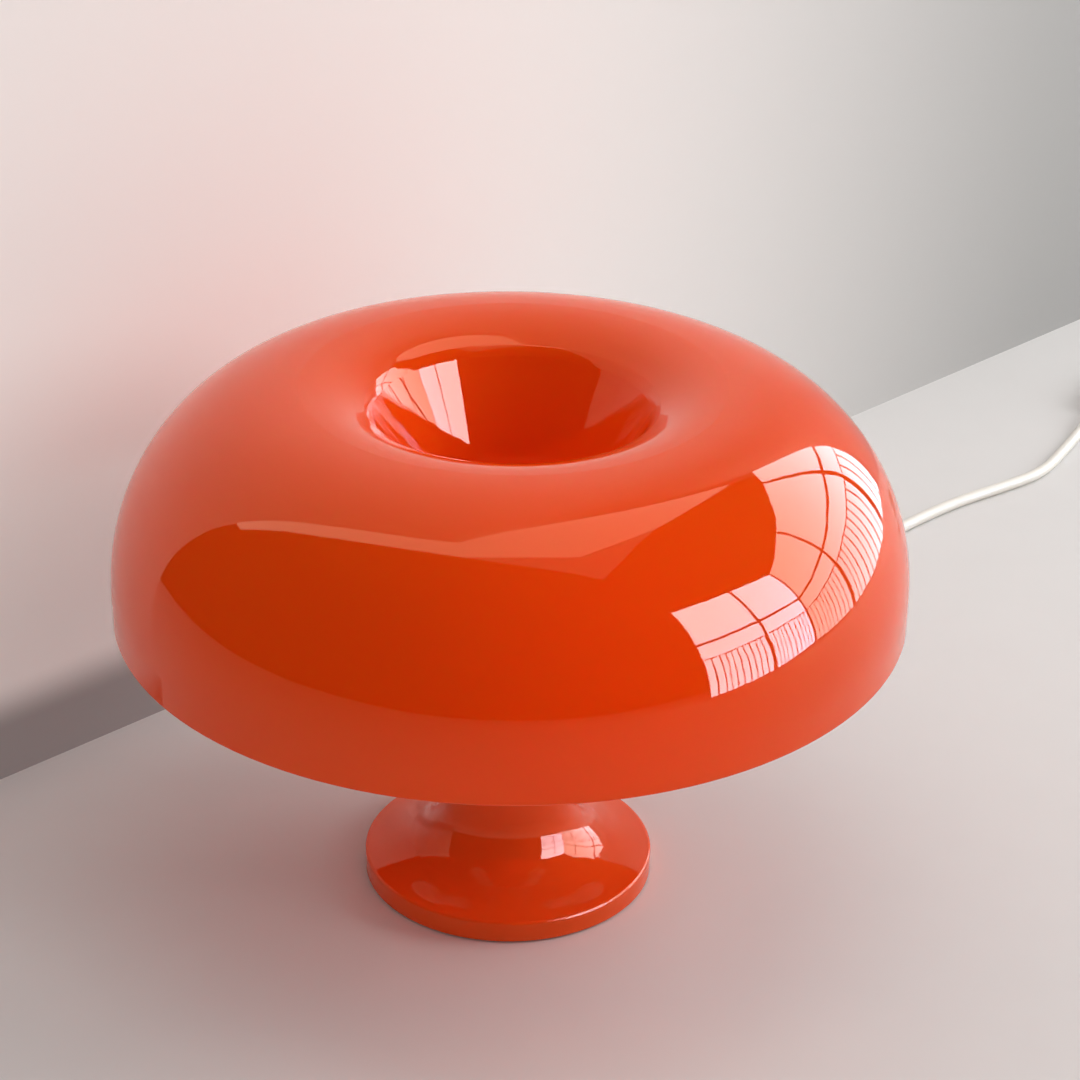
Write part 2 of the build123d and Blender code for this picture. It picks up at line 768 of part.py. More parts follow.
lead_low_z = stem_top_z + carrier_t + lead_above_carrier
with BuildPart() as holder_leads:
    for angle in bulb_angles:
        out = outward(angle, 0).direction
        with BuildLine() as lead_path:
            FilletPolyline(
                out * lead_rise_r + Vector(0, 0, junction_z + junction_h),
                out * lead_rise_r + Vector(0, 0, lead_low_z),
                out * lead_step_r + Vector(0, 0, lead_low_z),
                out * lead_step_r + Vector(0, 0, bulb_z),
                out * holder_s + Vector(0, 0, bulb_z),
                radius=lead_bends,
            )
        with BuildSketch(Plane(origin=lead_path.line @ 0, z_dir=lead_path.line % 0)):
            Circle(lead_r)
        sweep(path=lead_path.line)
holder_leads.part.label = "holder_leads"
export_step(holder_leads.part, "parts/holder_leads.step")

relief_back_y = sqrt(inner_disc_r**2 - (relief_flange_w / 2) ** 2) - relief_clearance
relief_inner_y = relief_back_y - relief_flange_t
with BuildPart() as inner_cable:
    with BuildLine() as cable_path:
        FilletPolyline(
            (0, relief_inner_y, cord_exit_z),
            (0, cable_rise_y, cord_exit_z),
            (0, cable_rise_y, junction_z),
            radius=cable_bend,
        )
    with BuildSketch(Plane(origin=cable_path.line @ 0, z_dir=cable_path.line % 0)):
        Circle(cord_r)
    sweep(path=cable_path.line)
inner_cable.part.label = "inner_cable"
export_step(inner_cable.part, "parts/inner_cable.step")

with BuildPart() as cord_clamp:
    with Locations((0, clamp_y, cover_top_z)):
        Box(clamp_w, clamp_l, clamp_h, align=(Align.CENTER, Align.CENTER, Align.MIN))
    fillet(cord_clamp.edges().filter_by(Axis.Y).group_by(Axis.Z)[-1], clamp_round)
    with BuildSketch(Plane.XZ.offset(-clamp_y - clamp_l)):
        with Locations((0, cord_exit_z)):
            Circle(cord_r + fit_clearance)
        with Locations((0, (cord_exit_z + cover_top_z) / 2)):
            Rectangle(2 * (cord_r + fit_clearance), cord_exit_z - cover_top_z)
    extrude(amount=2 * clamp_l, mode=Mode.SUBTRACT)
    with BuildSketch(Plane.XY.offset(cover_top_z)):
        with Locations((-clamp_screw_offset, clamp_y), (clamp_screw_offset, clamp_y)):
            Circle(clamp_screw_r + fit_clearance)
    extrude(amount=clamp_screw_length - cover_t + depth_clearance, mode=Mode.SUBTRACT)
cord_clamp.part.label = "cord_clamp"
export_step(cord_clamp.part, "parts/cord_clamp.step")

with BuildPart() as clamp_screws:
    with BuildSketch(Plane.XY.offset(foot_gap)):
        with Locations((-clamp_screw_offset, clamp_y), (clamp_screw_offset, clamp_y)):
            Circle(clamp_screw_head_r)
    extrude(amount=-cover_screw_head_t)
    with BuildSketch(Plane.XY.offset(foot_gap)):
        with Locations((-clamp_screw_offset, clamp_y), (clamp_screw_offset, clamp_y)):
            Circle(clamp_screw_r)
    extrude(amount=clamp_screw_length)
clamp_screws.part.label = "clamp_screws"
export_step(clamp_screws.part, "parts/clamp_screws.step")

# Strain relief: a tapered sleeve with grooves, held behind the wall by a flat flange on a thin neck
relief_tip_y = disc_r + relief_length
relief_neck_r = cord_exit_z - cover_top_z - relief_clearance
with BuildPart() as strain_relief:
    with BuildSketch(Plane.YZ):
        with BuildLine():
            Polyline(
                (relief_inner_y, cord_exit_z),
                (relief_inner_y, cord_exit_z + relief_neck_r),
                (inner_disc_r, cord_exit_z + relief_neck_r),
                (inner_disc_r, cord_exit_z + relief_r),
                (disc_r, cord_exit_z + relief_r),
                (relief_tip_y, cord_exit_z + relief_tip_r),
                (relief_tip_y, cord_exit_z),
                close=True,
            )
        make_face()
        groove_step = relief_length / (relief_groove_count + 1)
        groove_ys = [disc_r + groove_step * (n + 1) for n in range(relief_groove_count)]
        with Locations(*[(y, cord_exit_z + relief_r) for y in groove_ys]):
            Rectangle(relief_groove_w, 2 * relief_groove_depth + relief_r - relief_tip_r, mode=Mode.SUBTRACT)
    revolve(axis=Axis((0, 0, cord_exit_z), (0, 1, 0)))
    with Locations((0, relief_inner_y, cover_top_z + relief_clearance)):
        Box(relief_flange_w, relief_flange_t, relief_flange_h, align=(Align.CENTER, Align.MIN, Align.MIN))
strain_relief.part.label = "strain_relief"
export_step(strain_relief.part, "parts/strain_relief.step")

# Cord from the strain relief to the switch. The points follow the photograph where it shows the
# cord; behind the lamp they lead there from the foot in one easy curve.
cord_z = cord_r + table_clearance
lead_points = [
    (0, relief_tip_y, cord_exit_z),
    (0, relief_tip_y + 19, cord_exit_z),
    (3, relief_tip_y + 43, cord_z),
    (14, relief_tip_y + 76, cord_z),
    (41, 206, cord_z),
    (82, 236, cord_z),
    (128, 256, cord_z),
    (173, 283, cord_z),
    (209, 321, cord_z),
    (239, 349, cord_z),
    (271, 371, cord_z),
    (293, 388, cord_z),
    (308, 414, cord_z),
    (324, 444, cord_z),
]
switch_heading = 58.0
rise_run = 20.0
switch_run = 36.0
along = Vector(cos(radians(switch_heading)), sin(radians(switch_heading)), 0)
right_of = Vector(along.Y, -along.X, 0)
last_seen = Vector(*lead_points[-1])
switch_inlet = last_seen + along * switch_run + Vector(0, 0, switch_split_z - cord_z)
lead_points.append(tuple(last_seen + along * rise_run + Vector(0, 0, switch_split_z - cord_z)))
lead_points.append(tuple(switch_inlet))


def corner_radii(points, name):
    """The radius at each corner, as large as its two runs allow. They are printed too."""
    radii = []
    for before, corner, after in zip(points, points[1:], points[2:]):
        run_in = Vector(*corner) - Vector(*before)
        run_out = Vector(*after) - Vector(*corner)
        half_turn = radians(run_in.get_angle(run_out)) / 2
        radii.append(0.45 * min(run_in.length, run_out.length) / tan(half_turn))
    print(name, "bend radii", [round(radius) for radius in radii])
    return radii


def tube_length_check(tube, path, name):
    """Prints the swept tube's volume against its section times its length."""
    share = tube.volume / (pi * cord_r**2 * path.length)
    print(name, "length", round(path.length, 1), "volume share", round(share, 5))


with BuildPart() as cord_lead:
    with BuildLine() as cord_lead_path:
        FilletPolyline(*lead_points, radius=corner_radii(lead_points, "cord_lead"))
    with BuildSketch(Plane(origin=cord_lead_path.line @ 0, z_dir=cord_lead_path.line % 0)):
        Circle(cord_r)
    sweep(path=cord_lead_path.line)
tube_length_check(cord_lead.part, cord_lead_path.wire(), "cord_lead")
cord_lead.part.label = "cord_lead"
export_step(cord_lead.part, "parts/cord_lead.step")

# Inline switch, drawn in planes whose x runs along the cord away from the lamp
switch_foot = Vector(switch_inlet.X, switch_inlet.Y, 0) + along * (switch_length / 2)
switch_plane = Plane(origin=switch_foot, x_dir=along, z_dir=(0, 0, 1))
pivot_z = switch_h - rocker_pivot_below_top
window_half = rocker_r + rocker_clearance
window_w = rocker_w + 2 * rocker_clearance
tilt = radians(rocker_tilt)
rocker_plane = Plane(
    origin=switch_foot + Vector(0, 0, pivot_z),
    x_dir=along * cos(tilt) - Vector(0, 0, sin(tilt)),
    z_dir=right_of,
)
switch_screw_spots = ((switch_screw_x, -switch_screw_y), (-switch_screw_x, switch_screw_y))


def switch_outline():
    """Plan of the switch: bowed sides between two flat ends."""
    half_length = switch_length / 2
    half_end = switch_end_w / 2
    ThreePointArc((-half_length, -half_end), (0, -switch_w / 2), (half_length, -half_end))
    Line((half_length, -half_end), (half_length, half_end))
    ThreePointArc((half_length, half_end), (0, switch_w / 2), (-half_length, half_end))
    Line((-half_length, half_end), (-half_length, -half_end))


with BuildPart() as switch_lower:
    with BuildSketch(switch_plane):
        with BuildLine():
            switch_outline()
        make_face()
    extrude(amount=switch_split_z)
    fillet(switch_lower.edges().filter_by(Axis.Z), switch_corner_round)
    fillet(switch_lower.edges().group_by(Axis.Z)[0], switch_foot_round)
    with BuildSketch(switch_plane.offset(window_floor_z)):
        Rectangle(2 * window_half, window_w)
    extrude(amount=switch_split_z - window_floor_z, mode=Mode.SUBTRACT)
    with BuildSketch(switch_plane):
        with Locations(*switch_screw_spots):
            Circle(switch_screw_head_r + head_clearance)
    extrude(amount=switch_screw_recess + switch_screw_head_t, mode=Mode.SUBTRACT)
    with BuildSketch(switch_plane):
        with Locations(*switch_screw_spots):
            Circle(switch_screw_r + hole_clearance)
    extrude(amount=switch_split_z, mode=Mode.SUBTRACT)
switch_lower.part.label = "switch_lower"
export_step(switch_lower.part, "parts/switch_lower.step")

with BuildPart() as switch_upper:
    with BuildSketch(switch_plane.offset(switch_split_z)):
        with BuildLine():
            switch_outline()
        make_face()
    extrude(amount=switch_h - switch_split_z)
    fillet(switch_upper.edges().filter_by(Axis.Z), switch_corner_round)
    fillet(switch_upper.edges().group_by(Axis.Z)[-1], switch_top_round)
    with BuildSketch(switch_plane.offset(switch_split_z)):
        Rectangle(2 * window_half, window_w)
    extrude(amount=switch_h - switch_split_z, mode=Mode.SUBTRACT)
    with BuildSketch(Plane(origin=rocker_plane.origin, x_dir=along, z_dir=right_of)):
        Circle(trunnion_r + trunnion_clearance)
    extrude(amount=rocker_w / 2 + trunnion_length + rocker_clearance, both=True, mode=Mode.SUBTRACT)
    with BuildSketch(switch_plane.offset(switch_split_z)):
        with Locations(*switch_screw_spots):
            Circle(switch_screw_r + fit_clearance)
    extrude(amount=switch_screw_top_z - switch_split_z + depth_clearance, mode=Mode.SUBTRACT)
switch_upper.part.label = "switch_upper"
export_step(switch_upper.part, "parts/switch_upper.step")

with BuildPart() as switch_rocker:
    with BuildSketch(rocker_plane):
        with BuildLine():
            top_x = sqrt(rocker_r**2 - rocker_top**2)
            low_x = sqrt(rocker_r**2 - rocker_below**2)
            Polyline((top_x, rocker_top), (0, rocker_top - rocker_dip), (-top_x, rocker_top))
            ThreePointArc((-top_x, rocker_top), (-rocker_r, 0), (-low_x, -rocker_below))
            Line((-low_x, -rocker_below), (low_x, -rocker_below))
            ThreePointArc((low_x, -rocker_below), (rocker_r, 0), (top_x, rocker_top))
        make_face()
    extrude(amount=rocker_w / 2, both=True)
    with BuildSketch(rocker_plane):
        Circle(trunnion_r)
    extrude(amount=rocker_w / 2 + trunnion_length, both=True)
switch_rocker.part.label = "switch_rocker"
export_step(switch_rocker.part, "parts/switch_rocker.step")

with BuildPart() as switch_screws:
    with BuildSketch(switch_plane.offset(switch_screw_recess)):
        with Locations(*switch_screw_spots):
            Circle(switch_screw_head_r)
    extrude(amount=switch_screw_head_t)
    with BuildSketch(switch_plane.offset(switch_screw_recess + switch_screw_head_t)):
        with Locations(*switch_screw_spots):
            Circle(switch_screw_r)
    extrude(amount=switch_screw_top_z - switch_screw_recess - switch_screw_head_t)
switch_screws.part.label = "switch_screws"
export_step(switch_screws.part, "parts/switch_screws.step")

# Coil of the put-away length: half turns in the lower layer wind in, one half turn climbs, and
# half turns in the upper layer wind out again. Seen from above it winds clockwise. The two
# directions below span its plane, from its middle to where the cord comes in and the way it comes.
coil_low_z = cord_z + coil_tie_t + coil_tie_clearance
coil_high_z = coil_low_z + coil_pitch
coil_entry = Vector(switch_foot.X, switch_foot.Y, 0) + along * (switch_length / 2 + link_length + 2 * cord_r)
coil_middle = coil_entry + right_of * coil_r
toward_entry = right_of * -1


def coil_point(x, y, z):
    """A point of the coil from its own two directions and its height."""
    return coil_middle + toward_entry * x + along * y + Vector(0, 0, z)


with BuildPart() as cord_coil:
    with BuildLine() as coil_path:
        reach = coil_r
        x = reach
        z = coil_low_z
        Line(coil_point(x, -2 * cord_r, z), coil_point(x, 0, z))
        for index in range(2 * coil_half_turns + 1):
            climbs = index == coil_half_turns
            far = 1 if index % 2 == 0 else -1
            next_x = x - 2 * far * reach
            next_z = coil_high_z if climbs else z
            bulge = hypot(2 * reach, next_z - z) / 2
            ThreePointArc(
                coil_point(x, 0, z),
                coil_point((x + next_x) / 2, far * bulge, (z + next_z) / 2),
                coil_point(next_x, 0, next_z),
            )
            x = next_x
            z = next_z
            reach += coil_pitch / 2 if index >= coil_half_turns else -coil_pitch / 2
        coil_exit = coil_point(x, -2 * cord_r, z)
        Line(coil_point(x, 0, z), coil_exit)
    with BuildSketch(Plane(origin=coil_path.line @ 0, z_dir=coil_path.line % 0)):
        Circle(cord_r)
    sweep(path=coil_path.line)
tube_length_check(cord_coil.part, coil_path.wire(), "cord_coil")
cord_coil.part.label = "cord_coil"
export_step(cord_coil.part, "parts/cord_coil.step")


def least_gap(path, step, apart):
    """The least gap of a tube to itself, on points that lie at least that far apart along it."""
    count = int(path.length / step)
    points = [path.position_at(n / count) for n in range(count + 1)]
    skip = int(apart / step)
    nearest = min(
        (points[i] - points[j]).length for i in range(len(points)) for j in range(i + skip, len(points))
    )
    return nearest - 2 * cord_r


print("cord_coil least gap", round(least_gap(coil_path.wire(), 2.5, 60), 3))

with BuildPart() as coil_tie:
    tie_inner = coil_r - 2 * coil_pitch - cord_r - coil_tie_inner_slack
    tie_outer = coil_r + cord_r + coil_tie_clearance
    tie_bottom = coil_low_z - cord_r - coil_tie_clearance
    tie_top = coil_high_z + cord_r + coil_tie_clearance
    tie_plane = Plane(origin=coil_point(-coil_pitch / 2, 0, 0), x_dir=along, z_dir=toward_entry)
    tie_up = tie_plane.y_dir.Z
    with BuildSketch(tie_plane):
        with Locations(((tie_inner + tie_outer) / 2, tie_up * (tie_bottom + tie_top) / 2)):
            RectangleRounded(
                tie_outer - tie_inner + 2 * coil_tie_t,
                tie_top - tie_bottom + 2 * coil_tie_t,
                coil_tie_round + coil_tie_t,
            )
            RectangleRounded(tie_outer - tie_inner, tie_top - tie_bottom, coil_tie_round, mode=Mode.SUBTRACT)
    extrude(amount=coil_tie_w / 2, both=True)
coil_tie.part.label = "coil_tie"
export_step(coil_tie.part, "parts/coil_tie.step")

# Short free stretches: from the switch down to the coil, and from the coil down to the plug
link_start = switch_inlet + along * switch_length
link_drop = Vector(0, 0, coil_low_z - switch_split_z)
link_points = [
    link_start,
    link_start + along * (link_length * free_first_share),
    link_start + along * (link_length * free_second_share) + link_drop,
    link_start + along * link_length + link_drop,
]
plug_z = plug_h / 2
tail_drop = Vector(0, 0, plug_z - coil_high_z)
tail_points = [
    coil_exit,
    coil_exit - along * (tail_length * free_first_share),
    coil_exit - along * (tail_length * free_second_share) + tail_drop,
    coil_exit - along * tail_length + tail_drop,
]
for stretch_name, points in (("cord_link", link_points), ("cord_tail", tail_points)):
    with BuildPart() as stretch:
        with BuildLine() as stretch_path:
            FilletPolyline(*points, radius=corner_radii([tuple(point) for point in points], stretch_name))
        with BuildSketch(Plane(origin=stretch_path.line @ 0, z_dir=stretch_path.line % 0)):
            Circle(cord_r)
        sweep(path=stretch_path.line)
    tube_length_check(stretch.part, stretch_path.wire(), stretch_name)
    stretch.part.label = stretch_name
    export_step(stretch.part, f"parts/{stretch_name}.step")

# Plug, drawn in planes square to its length: a ribbed relief, a flat body that widens, two pins
plug_start = Vector(*tail_points[-1])
plug_way = along * -1


def plug_section(distance):
    """A plane square to the plug, that far along it, with x level and y up."""
    return Plane(origin=plug_start + plug_way * distance, x_dir=right_of, z_dir=plug_way)


plug_body_end = plug_relief_length + plug_body_length
with BuildPart() as plug_body:
    with BuildSketch(plug_section(0)):
        Circle(plug_relief_r)
    with BuildSketch(plug_section(plug_relief_length)):
        Circle(plug_relief_base_r)
    loft(ruled=True)
    with BuildSketch(plug_section(plug_relief_length)):
        RectangleRounded(plug_neck_w, plug_neck_h, plug_side_round)
    with BuildSketch(plug_section(plug_relief_length + plug_mid_share * plug_body_length)):
        RectangleRounded(plug_mid_w, plug_h, plug_side_round)
    with BuildSketch(plug_section(plug_body_end)):
        RectangleRounded(plug_w, plug_h, plug_side_round)
    loft(ruled=True)
    with BuildSketch(plug_section(plug_body_end)):
        with Locations((-pin_spacing / 2, 0), (pin_spacing / 2, 0)):
            Circle(pin_r)
    extrude(amount=pin_sleeve_length)
plug_body.part.label = "plug_body"
export_step(plug_body.part, "parts/plug_body.step")

with BuildPart() as plug_pins:
    with BuildSketch(plug_section(plug_body_end + pin_sleeve_length)):
        with Locations((-pin_spacing / 2, 0), (pin_spacing / 2, 0)):
            Circle(pin_r)
    extrude(amount=pin_length - pin_sleeve_length)
    pin_ends = plug_pins.edges().filter_by(GeomType.CIRCLE).sort_by(Axis(plug_start, plug_way))
    fillet(pin_ends[-2:], pin_tip_round)
plug_pins.part.label = "plug_pins"
export_step(plug_pins.part, "parts/plug_pins.step")

# What the record needs: places and directions in metres
print("lamp height", crest_z, "bulb z", bulb_z, "stem top radius", round(stem_top_r, 2))
print("switch pivot", [round(v / 1000, 5) for v in rocker_plane.origin])
print("switch axis", [round(v, 6) for v in right_of])
pin_start = plug_section(plug_body_end + pin_sleeve_length)
print("plug pin middle", [round(v / 1000, 5) for v in pin_start.origin])
print("plug way", [round(v, 6) for v in plug_way])
cord_total = cord_lead_path.wire().length + switch_length + coil_path.wire().length + link_length + tail_length
print("cord from strain relief to plug", round(cord_total))
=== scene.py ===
import json
from math import cos, pi, radians, sin

import bpy
from mathutils import Matrix, Vector


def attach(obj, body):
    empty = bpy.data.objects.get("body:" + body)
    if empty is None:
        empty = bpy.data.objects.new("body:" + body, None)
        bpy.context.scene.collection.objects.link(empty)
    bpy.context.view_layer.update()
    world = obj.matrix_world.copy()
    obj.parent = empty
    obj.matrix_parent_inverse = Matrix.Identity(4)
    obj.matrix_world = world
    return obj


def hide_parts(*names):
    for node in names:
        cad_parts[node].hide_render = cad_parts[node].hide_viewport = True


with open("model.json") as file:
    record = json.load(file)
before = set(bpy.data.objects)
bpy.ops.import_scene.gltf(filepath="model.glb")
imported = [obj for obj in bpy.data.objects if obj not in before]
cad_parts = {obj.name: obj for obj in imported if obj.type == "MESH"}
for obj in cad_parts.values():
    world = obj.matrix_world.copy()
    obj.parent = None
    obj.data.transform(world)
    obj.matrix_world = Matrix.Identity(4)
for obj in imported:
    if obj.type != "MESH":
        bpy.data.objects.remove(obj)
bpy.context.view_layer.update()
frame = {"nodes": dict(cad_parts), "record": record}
nodes = frame["nodes"]
scene = bpy.context.scene

# Camera: seen from the front and above, and turned so that a point of the lamp's axis lands where
# the photograph has it. Sizes in metres, angles in degrees, places in pixels of a 1080 frame.
FRAME_PX = 1080
FOCAL_PX = 2778.2
SENSOR_MM = 36
AIM = Vector((0, 0, 0.120))
AIM_PX = (510.4, 613.4)
AIM_DISTANCE = 1.1317
ELEVATION = radians(28.25)
ROLL = radians(-0.55)

look = Vector((0, cos(ELEVATION), -sin(ELEVATION)))
level = Vector((1, 0, 0))
down = look.cross(level)
right = level * cos(ROLL) + down * sin(ROLL)
down = down * cos(ROLL) - level * sin(ROLL)
ray = Vector(((AIM_PX[0] - FRAME_PX / 2) / FOCAL_PX, (AIM_PX[1] - FRAME_PX / 2) / FOCAL_PX, 1)).normalized()
swing = Vector((0, 0, 1)).rotation_difference(ray).to_matrix()
seen = swing @ Matrix((right, down, look))
camera_data = bpy.data.cameras.new("camera")
camera_data.lens = FOCAL_PX / FRAME_PX * SENSOR_MM
camera_data.sensor_width = SENSOR_MM
camera_data.clip_start = 0.02
camera_data.clip_end = 30
camera = bpy.data.objects.new("camera", camera_data)
scene.collection.objects.link(camera)
turned = Matrix((seen[0], -seen[1], -seen[2])).transposed()
camera.matrix_world = Matrix.Translation(AIM - look * AIM_DISTANCE) @ turned.to_4x4()
scene.camera = camera

# Cords: one from the foot to the switch, and one from the switch through its coil to the plug
CORD_R = 0.0029
CORD_Z = 0.00295
COIL_R = 0.039
COIL_PITCH = 0.0063
COIL_HALF_TURNS = 5
COIL_LOW_Z = 0.00445
COIL_POINTS = 8
SPLIT_Z = 0.0075
PLUG_Z = 0.00685
LINK = 0.032
TAIL = 0.038
SWITCH_LENGTH = 0.062
SWITCH_RISE = 0.020
SWITCH_INLET = 0.036

along = Vector((cos(radians(58)), sin(radians(58)), 0))
right_of = Vector((along.y, -along.x, 0))


def raised(point, height):
    """The same place at another height."""
    return Vector((point[0], point[1], height))


def nurbs_cord(name, points):
    """A round cord along one smooth NURBS spline with those control points, whose radius is the cord's."""
    data = bpy.data.curves.new(name, "CURVE")
    data.dimensions = "3D"
    spline = data.splines.new("NURBS")
    spline.points.add(len(points) - 1)
    for knot, point in zip(spline.points, points):
        knot.co = (*point, 1)
        knot.radius = CORD_R
    spline.order_u = 3
    spline.use_endpoint_u = True
    spline.resolution_u = 8
    data.bevel_depth = 1
    data.bevel_resolution = 5
    data.use_fill_caps = True
    cord = bpy.data.objects.new(name, data)
    scene.collection.objects.link(cord)
    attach(cord, "base")
    return cord


lead_points = [
    Vector((0, 0.0865, 0.005)),
    Vector((0, 0.1055, 0.005)),
    Vector((0.003, 0.1295, CORD_Z)),
    Vector((0.014, 0.1625, CORD_Z)),
    Vector((0.041, 0.206, CORD_Z)),
    Vector((0.082, 0.236, CORD_Z)),
    Vector((0.128, 0.256, CORD_Z)),
    Vector((0.173, 0.283, CORD_Z)),
    Vector((0.209, 0.321, CORD_Z)),
    Vector((0.239, 0.349, CORD_Z)),
    Vector((0.271, 0.371, CORD_Z)),
    Vector((0.293, 0.388, CORD_Z)),
    Vector((0.308, 0.414, CORD_Z)),
    Vector((0.324, 0.444, CORD_Z)),
]
last_seen = lead_points[-1]
switch_inlet = raised(last_seen + along * SWITCH_INLET, SPLIT_Z)
lead_points += [raised(last_seen + along * SWITCH_RISE, SPLIT_Z), switch_inlet]
cord_to_switch = nurbs_cord("cord_to_switch", lead_points)
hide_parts("cord_lead")

link_start = switch_inlet + along * SWITCH_LENGTH
link_end = raised(link_start + along * LINK, COIL_LOW_Z)
coil_middle = raised(link_end + along * 2 * CORD_R + right_of * COIL_R, 0)
plug_points = [
    link_start,
    link_start + along * 0.34 * LINK,
    raised(link_start + along * 0.68 * LINK, COIL_LOW_Z),
    link_end,
]
# The coil winds in below, climbs in one half turn, and winds out again above
reach = COIL_R
x = reach
z = COIL_LOW_Z
for half in range(2 * COIL_HALF_TURNS + 1):
    far = 1 if half % 2 == 0 else -1
    climb = COIL_PITCH if half == COIL_HALF_TURNS else 0
    middle_x = x - far * reach
    wide = reach / cos(pi / COIL_POINTS / 2)
    for step in range(COIL_POINTS):
        turn = pi * (step + 0.5) / COIL_POINTS
        spot = coil_middle - right_of * (middle_x + far * wide * cos(turn)) + along * far * wide * sin(turn)
        plug_points.append(raised(spot, z + climb * (1 - cos(turn)) / 2))
    x -= 2 * far * reach
    z += climb
    reach += COIL_PITCH / 2 if half >= COIL_HALF_TURNS else -COIL_PITCH / 2
coil_exit = raised(coil_middle - right_of * x - along * 2 * CORD_R, z)
plug_start = raised(coil_exit - along * TAIL, PLUG_Z)
plug_points += [
    coil_exit,
    coil_exit - along * 0.34 * TAIL,
    raised(coil_exit - along * 0.68 * TAIL, PLUG_Z),
    plug_start,
]
cord_to_plug = nurbs_cord("cord_to_plug", plug_points)
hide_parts("cord_link", "cord_coil", "cord_tail")


# Materials, by the name of the record's slot that each belongs to
finishes = {}


def new_material(name, color, roughness, **inputs):
    """A material whose shader has those constants; names of inputs use _ for a space."""
    material = bpy.data.materials.new(name)
    material.use_nodes = True
    shader = material.node_tree.nodes["Principled BSDF"]
    shader.inputs["Base Color"].default_value = (*color, 1)
    shader.inputs["Roughness"].default_value = roughness
    for key, value in inputs.items():
        shader.inputs[key.replace("_", " ")].default_value = value
    finishes[name] = material
    return material


def node(material, kind, x, y, **settings):
    """A new shader node of that kind, with its own settings."""
    made = material.node_tree.nodes.new(kind)
    made.location = (x, y)
    for key, value in settings.items():
        setattr(made, key, value)
    return made


def noise(material, scale, detail, roughness=0.5):
    """Noise in the object's own metres, so that its scale is the same on every piece."""
    place = node(material, "ShaderNodeTexCoord", -900, 0)
    made = node(material, "ShaderNodeTexNoise", -700, 0)
    made.inputs["Scale"].default_value = scale
    made.inputs["Detail"].default_value = detail
    made.inputs["Roughness"].default_value = roughness
    material.node_tree.links.new(place.outputs["Object"], made.inputs["Vector"])
    return made


def vary_color(material, source, low, high):
    """Colour that runs between two near ones, by the noise."""
    mix = node(material, "ShaderNodeMix", -300, 300, data_type="RGBA")
    mix.inputs["A"].default_value = (*low, 1)
    mix.inputs["B"].default_value = (*high, 1)
    links = material.node_tree.links
    links.new(source.outputs["Fac"], mix.inputs["Factor"])
    links.new(mix.outputs["Result"], material.node_tree.nodes["Principled BSDF"].inputs["Base Color"])


def vary_roughness(material, source, low, high):
    """Roughness that runs between two values, by the noise."""
    spread = node(material, "ShaderNodeMapRange", -300, 0)
    spread.inputs["From Min"].default_value = 0.3
    spread.inputs["From Max"].default_value = 0.7
    spread.inputs["To Min"].default_value = low
    spread.inputs["To Max"].default_value = high
    links = material.node_tree.links
    links.new(source.outputs["Fac"], spread.inputs["Value"])
    links.new(spread.outputs["Result"], material.node_tree.nodes["Principled BSDF"].inputs["Roughness"])


def bump(material, source, depth):
    """Relief of that depth in metres from the noise."""
    made = node(material, "ShaderNodeBump", -300, -300)
    made.inputs["Strength"].default_value = 1.0
    made.inputs["Distance"].default_value = depth
    links = material.node_tree.links
    links.new(source.outputs["Fac"], made.inputs["Height"])
    links.new(made.outputs["Normal"], material.node_tree.nodes["Principled BSDF"].inputs["Normal"])


shade_plastic = new_material(
    "shade_plastic", (0.86, 0.072, 0.003), 0.04,
    IOR=1.62, Specular_Tint=(1.0, 0.58, 0.32, 1.0),
    Subsurface_Weight=0.7, Subsurface_Scale=0.006, Subsurface_Radius=(1.0, 0.14, 0.02),
)
cloud = noise(shade_plastic, 9, 3)
vary_color(shade_plastic, cloud, (0.85, 0.069, 0.003), (0.88, 0.077, 0.004))
vary_roughness(shade_plastic, cloud, 0.02, 0.035)

foot_plastic = new_material(
    "foot_plastic", (0.84, 0.085, 0.010), 0.05,
    IOR=1.62, Specular_Tint=(1.0, 0.55, 0.32, 1.0),
    Subsurface_Weight=0.3, Subsurface_Scale=0.003, Subsurface_Radius=(1.0, 0.2, 0.04),
)
cloud = noise(foot_plastic, 25, 3)
vary_color(foot_plastic, cloud, (0.83, 0.082, 0.009), (0.85, 0.090, 0.011))
vary_roughness(foot_plastic, cloud, 0.025, 0.045)

cord_plastic = new_material("cord_plastic", (0.86, 0.83, 0.75), 0.38)
grain = noise(cord_plastic, 160, 2)
vary_color(cord_plastic, grain, (0.85, 0.82, 0.74), (0.87, 0.84, 0.77))
bump(cord_plastic, grain, 0.00012)

white_plastic = new_material("white_plastic", (0.78, 0.76, 0.70), 0.42)
grain = noise(white_plastic, 220, 2)
vary_color(white_plastic, grain, (0.76, 0.74, 0.68), (0.80, 0.78, 0.72))
bump(white_plastic, grain, 0.0001)

rubber = new_material("rubber", (0.035, 0.035, 0.035), 0.75)
grain = noise(rubber, 900, 3)
vary_color(rubber, grain, (0.030, 0.030, 0.030), (0.045, 0.045, 0.045))
bump(rubber, grain, 0.0001)

zinc_steel = new_material("zinc_steel", (0.62, 0.63, 0.64), 0.32, Metallic=1.0)
grain = noise(zinc_steel, 60, 4)
vary_color(zinc_steel, grain, (0.55, 0.56, 0.57), (0.66, 0.67, 0.68))
vary_roughness(zinc_steel, grain, 0.26, 0.42)

iron = new_material("iron", (0.09, 0.09, 0.095), 0.6, Metallic=0.6)
grain = noise(iron, 300, 4)
vary_color(iron, grain, (0.075, 0.075, 0.08), (0.12, 0.12, 0.125))
bump(iron, grain, 0.0004)

brass = new_material("brass", (0.72, 0.52, 0.22), 0.28, Metallic=1.0)
grain = noise(brass, 80, 3)
vary_color(brass, grain, (0.66, 0.46, 0.18), (0.76, 0.56, 0.26))
vary_roughness(brass, grain, 0.22, 0.36)

